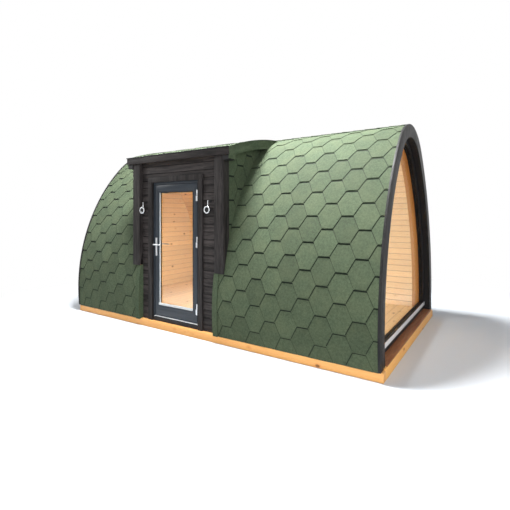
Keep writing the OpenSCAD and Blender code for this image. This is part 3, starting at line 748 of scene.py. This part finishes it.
def cheekField(name, face, out, seed):
    layout = dict(shingleLay, Columns=cheek["columns"], Rows=cheek["rows"], Jitter=0.001)
    layout["First Column"] = cheek["firstOut" if out > 0 else "firstIn"]
    layout["First Row"] = cheek["firstRow"]
    field = layCourses(name, shingleUnit(), finishes["shingle"], layout, seed)
    along = (0, 1, 0) if out > 0 else (0, -1, 0)
    stand(field, (face + out * cheek["proud"], 0, 0), along, (0, 0, 1), (out, 0, 0))

    def clip(bm):
        trim(bm, (0, 0, dormer["boardZ"]), (0, 0, -1))
        between(bm, 1, dormer["boardY"] + cheek["front"], dormer["backY"])
        for k in range(cheek["levels"]):
            plane(bm, (0, 0, dormer["boardZ"] + cheek["grid"] * k), (0, 0, 1))
        for k in range(cheek["slices"]):
            plane(bm, (0, cheek["gridY"] + cheek["grid"] * k, 0), (0, 1, 0))
        gone = []
        for f in bm.faces:
            c = f.calc_center_median()
            inVault = c.z < pod["ridge"] - cheek["inVault"] and -c.y < halfAt(c.z, cheek["inVault"])
            if c.z > roofHeight(c.y, cheek["underRoof"]) or inVault:
                gone.append(f)
        bmesh.ops.delete(bm, geom=gone, context="FACES")
    return smooth(edit(field, clip), 24)


settle(cheekField("cheekShinglesLeft", dormer["cheek0"], -1, 71))
settle(cheekField("cheekShinglesRight", dormer["cheek1"], 1, 73), stands=("cheek_skins",))

# inside boards
lining = {"pitch": 0.0967, "board": 0.0937, "proud": 0.008, "foot": -0.29, "frontStop": 0.30, "overRidge": 0.36,
          "reach": 1.5, "endCount": 25}
innerX0, innerX1 = dormer["cheek0"] + dormer["cheekT"], dormer["cheek1"] - dormer["cheekT"]


def vaultLining(name, x0, x1, side, s0, s1, seed):
    unit = boardUnit(min(-side * x0, -side * x1), max(-side * x0, -side * x1), lining["board"],
                     -pod["wallIn"] - lining["proud"], -pod["wallIn"] + 0.002, 0.005, -1)
    layout = dict(podWrap, Side=side, Rows=math.ceil((s1 - s0) / lining["pitch"]), Course=lining["pitch"])
    layout["First Row"] = s0
    return layCourses(name, unit, finishes["pine"], layout, seed)


def clipLining(bm, limitY, sign):
    trim(bm, (0, limitY, 0), (0, sign, 0))
    trim(bm, (0, 0, pod["floorZ"]), (0, 0, -1))


for part, x0, x1, seed in (("Left", pod["endFace"], dormer["pier0"], 81),
                           ("Right", dormer["pier1"], pod["glazeBack"], 83)):
    boards = vaultLining("lining" + part, x0, x1, -1.0, lining["foot"],
                         pod["ridgeS"] - lining["frontStop"], seed)
    edit(boards, lambda bm: clipLining(bm, dormer["backY"], 1))
    low, high = (innerX0, farOff) if part == "Left" else (-farOff, innerX1)
    edit(boards, lambda bm: cutBlock(bm, (low, -farOff, dormer["boardZ"]), (high, farOff, farOff)))
    settle(boards)
boards = vaultLining("liningBack", pod["endFace"], pod["glazeBack"], 1.0, lining["foot"],
                     pod["ridgeS"] + lining["overRidge"], 87)
edit(boards, lambda bm: clipLining(bm, dormer["backY"], -1))
settle(boards)

unit = boardUnit(-lining["reach"], lining["reach"], lining["board"], -0.003, lining["proud"], 0.005)
boards = flatBoards("endWallLining", unit, "pineAcross", lining["endCount"], lining["pitch"], 89)
stand(boards, (pod["endFace"], 0, pod["floorZ"] + 0.001), (0, 1, 0), (0, 0, 1), (1, 0, 0))
settle(clampToArch(boards, pod["wallIn"] + 0.004))
endBoards = {"pitch": 0.12, "board": 0.1185, "proud": 0.009, "count": 20, "foot": 0.112, "inset": 0.148}
unit = boardUnit(-lining["reach"], lining["reach"], endBoards["board"], -0.003, endBoards["proud"], 0.005)
boards = flatBoards("endWallBoards", unit, "black", endBoards["count"], endBoards["pitch"], 97)
stand(boards, (pod["vaultX0"], 0, endBoards["foot"]), (0, -1, 0), (0, 0, 1), (-1, 0, 0))
settle(clampToArch(boards, endBoards["inset"]))

floorSize = {"pitch": 0.1175, "board": 0.1145, "count": 40, "half": 1.274, "x0": -2.32, "x1": 2.29}
unit = boardUnit(-floorSize["half"], floorSize["half"], floorSize["board"], pod["beamH"], pod["floorZ"], 0.002)
boards = flatBoards("floorBoards", unit, "pineAcross", floorSize["count"], floorSize["pitch"], 91)
stand(boards, (floorSize["x0"], 0, 0), (0, -1, 0), (1, 0, 0), (0, 0, 1))
edit(boards, lambda bm: trim(bm, (floorSize["x1"], 0, 0), (1, 0, 0)))
settle(boards, stands=("floor_deck",))

# boards round the inside of the door, from the frame to the dormer's cheeks
innerSize = {"thick": 0.009, "step": 0.0967, "frame0": -0.745, "frame1": 0.135, "headZ": 2.2, "topZ": 2.296}
low, high, split, head = pod["floorZ"], innerSize["headZ"], dormer["boardZ"], innerSize["topZ"]
for name, x0, x1, z0, z1, seed in (
        ("liningDoorLeft", innerX0, innerSize["frame0"], split, high, 101),
        ("liningDoorLeftLow", dormer["pier0"], innerSize["frame0"], low, split - 0.001, 102),
        ("liningDoorRight", innerSize["frame1"], innerX1, split, high, 103),
        ("liningDoorRightLow", innerSize["frame1"], dormer["pier1"], low, split - 0.001, 104),
        ("liningDoorHead", innerX0, innerX1, high, head, 105)):
    rows = max(1, round((z1 - z0) / innerSize["step"]))
    course = (z1 - z0) / rows
    unit = boardUnit(-x1, -x0, course - 0.001, -0.002, innerSize["thick"])
    boards = flatBoards(name, unit, "pine", rows, course, seed)
    stand(boards, (0, dormer["wallIn"], z0), (-1, 0, 0), (0, 0, 1), (0, 1, 0))
    settle(boards)

# a darker pine band laid over the lining beside the glazing: painted shade, standing for the shade on the vault
# next to the gable
glazeShadeBand = {"wide": 0.105, "foot": -0.26, "under": 0.119, "face": 0.139}
shadeBand = bmesh.new()
for sign in (-1, 1):
    curvedSheet(shadeBand, pod["glazeBack"] - glazeShadeBand["wide"], pod["glazeBack"] - 0.001, glazeShadeBand["foot"],
                pod["ridgeS"] - 0.001, glazeShadeBand["under"], glazeShadeBand["face"], sign, 40)
setPiece("glazingShadeBand", shadeBand, "trim", 30)
print("linings laid")

# black boards of the entrance
cladding = {"pitch": 0.0967, "board": 0.0945, "first": -0.0254, "proud": 0.007}
wallTop = roofHeight(dormer["wallY"], 0.08) - 0.003
rowCount = int((wallTop - pod["beamH"]) / cladding["pitch"]) + 2
for name, x0, x1, z0, seed in (("claddingLeft", dormer["pier0"], door["casing0"], pod["beamH"], 111),
                               ("claddingRight", door["casing1"], dormer["pier1"], pod["beamH"], 113),
                               ("claddingHead", door["casing0"], door["casing1"], door["casingTop"], 115)):
    unit = boardUnit(x0, x1, cladding["board"], -0.002, cladding["proud"], 0.005)
    boards = flatBoards(name, unit, "black", rowCount + 1, cladding["pitch"], seed)
    stand(boards, (0, dormer["wallY"], cladding["first"] + cladding["pitch"]), (1, 0, 0), (0, 0, 1), (0, -1, 0))

    def clip(bm):
        between(bm, 2, z0, wallTop)
    settle(edit(boards, clip))

# CAD parts with their edges eased: node, finish, width of the round, slot
eased = (
    ("base_beam_front", "larch", 0.004, "larch"),
    ("base_beam_back", "larch", 0.004, "larch"),
    ("base_beam_left", "larchAcross", 0.003, "larch"),
    ("base_beam_right", "larchAcross", 0.003, "larch"),
    ("gable_step", "brown", 0.003, "brown_board"),
    ("gable_arch", "arch", 0.002, "black_boards"),
    ("end_arch", "arch", 0.002, "black_boards"),
    ("gable_reveal", "frame", 0.0, "black_frame"),
    ("glazing_frame", "frame", 0.0015, "black_frame"),
    ("glazing_bar", "bar", 0.003, "bar_metal"),
    ("corner_board_left", "blackUp", 0.0025, "black_boards"),
    ("corner_board_right", "blackUp", 0.0025, "black_boards"),
    ("edge_strips", "felt", 0.0, "shingles"),
    ("dormer_fascia", "black", 0.003, "black_boards"),
    ("fascia_cap", "frame", 0.002, "black_boards"),
    # the soffits' black paint is partly their own colour and partly painted shade, standing for the shadow
    # under the eave
    ("dormer_soffits", "frame", 0.0, "black_boards"),
    ("door_frame", "door", 0.0015, "door_paint"),
    ("door_casing", "blackUp", 0.003, "black_boards"),
    ("glazing_beads", "bead", 0.0012, "white_bead"),
)
for node, finish, width, slot in eased:
    first, *others = node.split("_")
    name = first + "".join(word.title() for word in others)
    body = "door" if node == "glazing_beads" else "pod"
    settle(roundedCopy(node, name, finishes[finish], width), body, (node,))
sill = roundedCopy("threshold", "threshold", finishes["frame"], 0.0015)
sill.data.materials.append(finishes["bar"])
for face in sill.data.polygons:
    face.material_index = 1 if face.center.z > 0.1452 else 0
settle(sill, stands=("threshold",))
print("timbers eased")


# door leaf, furniture and hinges
def mitredRing(bm, box, widths, profile):
    # sweeps a closed profile of (share of the member's width, depth) round a rectangle
    x0, x1, z0, z1 = box
    side, top, bottom = widths
    corners = []
    for u, y in profile:
        left, right, low, high = x0 + u * side, x1 - u * side, z0 + u * bottom, z1 - u * top
        corners.append([bm.verts.new((x, y, z)) for x, z in
                        ((left, low), (right, low), (right, high), (left, high))])
    for k in range(len(profile)):
        bridge(bm, corners[k], corners[(k + 1) % len(profile)])


leafBox = (door["x0"], door["x1"], door["z0"], door["z1"])
leafWidths = (door["stile"], door["top"], door["bottom"])
front, back = door["y"], door["y"] + door["t"]
leaf = bmesh.new()
# the moulding of both faces: share of the member's width, depth below the face
moulding = [(0.0, 0.003), (0.015, 0.001), (0.04, 0.0), (0.60, 0.0), (0.63, 0.0012), (0.65, 0.004),
            (0.69, 0.004), (0.71, 0.0025), (0.90, 0.0085), (0.99, 0.0125), (1.0, 0.016)]
mitredRing(leaf, leafBox, leafWidths,
           [(u, front + d) for u, d in moulding] + [(u, back - d) for u, d in reversed(moulding)])
setPiece("doorLeaf", leaf, "door", 40, "door", ("door_leaf",))
seal = bmesh.new()
paneBox = (door["x0"] + door["stile"], door["x1"] - door["stile"], door["z0"] + door["bottom"],
           door["z1"] - door["top"])
for y0, y1 in ((front + 0.009, front + 0.0155), (back - 0.0155, back - 0.009)):
    mitredRing(seal, paneBox, (0.006,) * 3,
               [(-0.2, y0), (0.8, y0), (1.0, (y0 + y1) / 2), (0.8, y1), (-0.2, y1)])
setPiece("glassSeals", seal, "gasket", 50, "door")
rebateSeal = bmesh.new()
gapBox = (door["x0"] - 0.005, door["x1"] + 0.005, door["z0"] - 0.005, door["z1"] + 0.005)
mitredRing(rebateSeal, gapBox, (0.010,) * 3,
           [(0.02, back + 0.0052), (0.85, back + 0.0052), (0.9, back + 0.008), (0.02, back + 0.008)])
settle(meshPiece("rebateSeal", rebateSeal, finishes["gasket"]))


def around(centre, axis, r, angle, depth):  # a point at radius r about an axis through centre
    point = [0.0, 0.0, 0.0]
    point[axis], point[(axis + 1) % 3], point[(axis + 2) % 3] = depth, r * math.cos(angle), r * math.sin(angle)
    return Vector(centre) + Vector(point)


def lathe(bm, profile, centre, axis=1, steps=32):  # turns (radius, depth) pairs about the axis
    rings = [[bm.verts.new(around(centre, axis, r, 2 * math.pi * k / steps, d)) for k in range(steps)]
             for r, d in profile]
    for a, b in zip(rings, rings[1:]):
        bridge(bm, a, b)
    bm.faces.new(rings[0])
    bm.faces.new(rings[-1])


def torus(bm, centre, big, small, axis=1, steps=40, sides=12):
    tube = [2 * math.pi * j / sides for j in range(sides)]
    rings = [[bm.verts.new(around(centre, axis, big + small * math.cos(b), 2 * math.pi * k / steps,
                                  small * math.sin(b))) for b in tube] for k in range(steps)]
    for k in range(steps):
        bridge(bm, rings[k], rings[(k + 1) % steps])


def screw(bm, x, y, z, r=0.0042, out=-1):
    lathe(bm, [(r, 0.0), (r, out * 0.0008), (r * 0.75, out * 0.0016), (r * 0.3, out * 0.0017),
               (r * 0.28, out * 0.0006)], (x, y, z), 1, 14)


hinge = {"heights": (0.11, 0.96, 1.551), "long": 0.14, "radius": 0.008}
frameHinges, doorHinges = bmesh.new(), bmesh.new()
for height in hinge["heights"]:
    z0 = door["z0"] + height
    half, pivot = hinge["long"] / 2, (door["pivotX"], door["pivotY"], 0.0)
    spots = ((doorHinges, z0, z0 + half - 0.0006), (frameHinges, z0 + half + 0.0006, z0 + hinge["long"]))
    for bm, a, b in spots:
        r = hinge["radius"]
        lathe(bm, [(r * 0.55, a), (r * 0.96, a + 0.0012), (r, a + 0.003), (r, b - 0.003),
                   (r * 0.96, b - 0.0012), (r * 0.55, b)], pivot, 2, 24)
        lathe(bm, [(r * 0.5, a + 0.02), (r * 1.03, a + 0.0202), (r * 1.03, a + 0.0215),
                   (r * 0.5, a + 0.0217)], pivot, 2, 24)
    addBox(frameHinges, (door["pivotX"], door["pivotY"] + 0.0005, z0 + half + 0.002),
           (door["pivotX"] + 0.022, dormer["wallY"] + 0.0005, z0 + hinge["long"] - 0.002))
    addBox(doorHinges, (door["x1"] - 0.024, front - 0.003, z0 + 0.002),
           (door["pivotX"], front + 0.0005, z0 + half - 0.002))
    for dz in (0.016, 0.05):
        screw(frameHinges, door["pivotX"] + 0.015, door["pivotY"] + 0.0005, z0 + half + dz)
        screw(doorHinges, door["x1"] - 0.016, front - 0.003, z0 + dz)
setPiece("hingeFrameHalves", frameHinges, "steel", 35, "pod", ("hinge_frame_halves",))
setPiece("hingeDoorHalves", doorHinges, "steel", 35, "door", ("hinge_door_halves",))

plates = roundedCopy("handle_plates", "handlePlates", finishes["steel"], 0.0015, 2)
settle(plates, "door", ("handle_plates",))
keys = bmesh.new()
for y, out in ((front - 0.010, -1), (back + 0.010, 1)):
    lathe(keys, [(0.0085, -out * 0.003), (0.0085, out * 0.0005), (0.0076, out * 0.0012), (0.002, out * 0.0012)],
          (door["spindleX"], y, door["spindleZ"] - 0.092), 1, 24)
    addBox(keys, (door["spindleX"] - 0.001, min(y, y + out * 0.0014), door["spindleZ"] - 0.098),
           (door["spindleX"] + 0.001, max(y, y + out * 0.0014), door["spindleZ"] - 0.088))
    for dz in (-0.142, 0.078):
        screw(keys, door["spindleX"], front - 0.006 if out < 0 else back + 0.006, door["spindleZ"] + dz,
              0.0035, out)
setPiece("handleKeyParts", keys, "steel", 35, "door")
lever = roundedCopy("door_lever", "doorLever", finishes["steel"], 0.0)
settle(smooth(lever, 50), "lever", ("door_lever",))
rose = bmesh.new()
for y, out in ((front - 0.006, -1), (back + 0.006, 1)):
    lathe(rose, [(0.0095, 0.0), (0.0132, out * 0.0008), (0.0138, out * 0.004), (0.0128, out * 0.0056),
                 (0.0093, out * 0.006)], (door["spindleX"], y, door["spindleZ"]), 1, 28)
setPiece("handleRoses", rose, "steel", 40, "door")
print("door fitted")

# lamps beside the door
lampSize = {"xs": (-0.87, 0.307), "z": 1.602, "ring": 0.047, "face": 0.088}
metalPart, darkPart = bmesh.new(), bmesh.new()
for x in lampSize["xs"]:
    y, z, r = dormer["wallY"] - lampSize["face"], lampSize["z"], lampSize["ring"]
    torus(metalPart, (x, y + 0.0075, z), r - 0.0078, 0.0076)
    lathe(darkPart, [(0.004, 0.004), (0.012, 0.0045), (0.026, 0.008), (r - 0.012, 0.011),
                     (r - 0.008, 0.0125), (r - 0.0085, 0.020), (r - 0.011, 0.0215),
                     (r - 0.011, 0.0245), (r - 0.0085, 0.026), (r - 0.0085, 0.032),
                     (r - 0.011, 0.0335), (r - 0.011, 0.0365), (r - 0.0085, 0.038),
                     (r - 0.009, 0.042), (0.012, 0.0445)], (x, y, z))
    top = z + r
    lathe(metalPart, [(0.0055, top - 0.011), (0.0062, top - 0.004), (0.0048, top + 0.002),
                      (0.0048, top + 0.052), (0.0060, top + 0.056), (0.0060, top + 0.0635),
                      (0.0025, top + 0.067)], (x, y + 0.027, 0.0), 2, 20)
    lathe(darkPart, [(0.0045, 0.0225), (0.0045, 0.076), (0.006, 0.0785), (0.0205, 0.0795),
                     (0.022, 0.0815), (0.022, 0.0878)], (x, y, top + 0.06), 1, 28)
setPiece("lampRings", metalPart, "steel", 45, "pod", ("wall_lamps",))
setPiece("lampBodies", darkPart, "gasket", 35)
print("lamps set")


# CAD parts that keep their own shape
kept = {
    # the vault shells take the dark brown step stain: partly their end grain's colour, partly painted shade on
    # their cut ends
    "floor_joists": "larchAcross", "vault_front_left": "brown", "vault_front_right": "brown",
    "vault_back": "brown", "end_wall": "frame", "end_lining": "pineAcross", "dormer_roof": "pine",
    "cheeks": "pine", "wall_left": "black", "wall_right": "black", "wall_head": "black",
    "gable_glass": "bigGlass", "door_glass": "glass",
}
for node, finish in kept.items():
    for slot in nodes[node].material_slots:
        slot.material = finishes[finish]


# studio and camera
def setStudio():
    stage = bpy.data.meshes.new("studioFloor")
    stage.from_pydata([(x * studio["floorHalf"], y * studio["floorHalf"], studio["floorZ"]) for x, y in
                       ((-1, -1), (1, -1), (1, 1), (-1, 1))], [], [(0, 1, 2, 3)])
    floor = emptyPiece("studioFloor", stage)
    pale = Finish("studioFloorPale")
    seen = pale.looking()
    cloud = pale.noise(pale.where(), 0.5, 1.0)
    grey = pale.level((studio["floorPale"],) * 3 + (1.0,), cloud * 0.01 + 0.995)
    shade = pale.mix(seen, grey, studio["floorSeen"])
    matte = pale.add("ShaderNodeBsdfDiffuse", {}, {"Color": shade})
    white = pale.add("ShaderNodeEmission", {}, {"Color": (1.0, 1.0, 1.0, 1.0), "Strength": 1.0})
    distance = pale.add("ShaderNodeVectorMath", {"operation": "LENGTH"},
                        {0: pale.where(shift=studio["middle"])}, out="Value")
    fade = pale.spread(distance, *studio["fade"]) * seen
    stage.materials.append(pale.coat(pale.add("ShaderNodeMixShader", {}, {0: fade, 1: matte, 2: white})))
    world = bpy.data.worlds.new("studioAir")
    world.use_nodes = True
    scene.world = world
    air = NodeBuild(world.node_tree)
    world.node_tree.nodes.clear()
    strength = air.looking() * (1.0 - studio["air"]) + studio["air"]
    sky = air.add("ShaderNodeBackground", {}, {"Color": (1.0, 1.0, 1.0, 1.0), "Strength": strength})
    air.add("ShaderNodeOutputWorld", {}, {"Surface": sky})
    for name, spot, aim, size, power in studio["lamps"]:
        lamp = bpy.data.lights.new(name, "AREA")
        lamp.shape, lamp.size, lamp.energy = "DISK", size, power
        lamp.color = studio["roomColour"] if name == "roomLamp" else (1.0, 1.0, 1.0)
        holder = bpy.data.objects.new(name, lamp)
        scene.collection.objects.link(holder)
        holder.location = spot
        holder.rotation_euler = (Vector(aim) - Vector(spot)).to_track_quat("-Z", "Y").to_euler()
        holder.visible_camera = holder.visible_glossy = name != "roomLamp"


studio = {
    "air": 0.34, "roomColour": (0.92, 0.96, 1.0), "floorSeen": (0.71, 0.75, 0.8, 1.0), "floorPale": 0.4,
    "floorHalf": 40.0, "floorZ": -0.002, "middle": (-0.6, 0.3, 0.0), "fade": (3.2, 5.4),
    "eye": (3.326, -4.898, 1.55), "turn": 33.6, "lens": 26.62, "shift": -0.0802,
    # name, place, aim, size and power
    "lamps": [("keyLamp", (0.15, -1.3, 6.2), (0.6, -0.3, 0.8), 2.0, 1300.0),
              ("sideLamp", (-6.8, -4.4, 4.6), (0.2, -0.2, 0.9), 2.4, 200.0),
              ("frontLamp", (6.6, -6.4, 2.6), (0.6, 0.0, 0.8), 4.5, 380.0),
              ("roomLamp", (0.2, 0.0, 1.95), (0.2, 0.0, 0.0), 0.5, 44.0)],
}
setStudio()

view = bpy.data.cameras.new("viewCamera")
view.sensor_width, view.lens, view.shift_y = 36.0, studio["lens"], studio["shift"]
camera = bpy.data.objects.new("viewCamera", view)
scene.collection.objects.link(camera)
camera.location = studio["eye"]
camera.rotation_euler = (math.radians(90.0), 0.0, math.radians(studio["turn"]))
scene.camera = camera
scene.view_settings.view_transform = "Standard"
print("studio set")
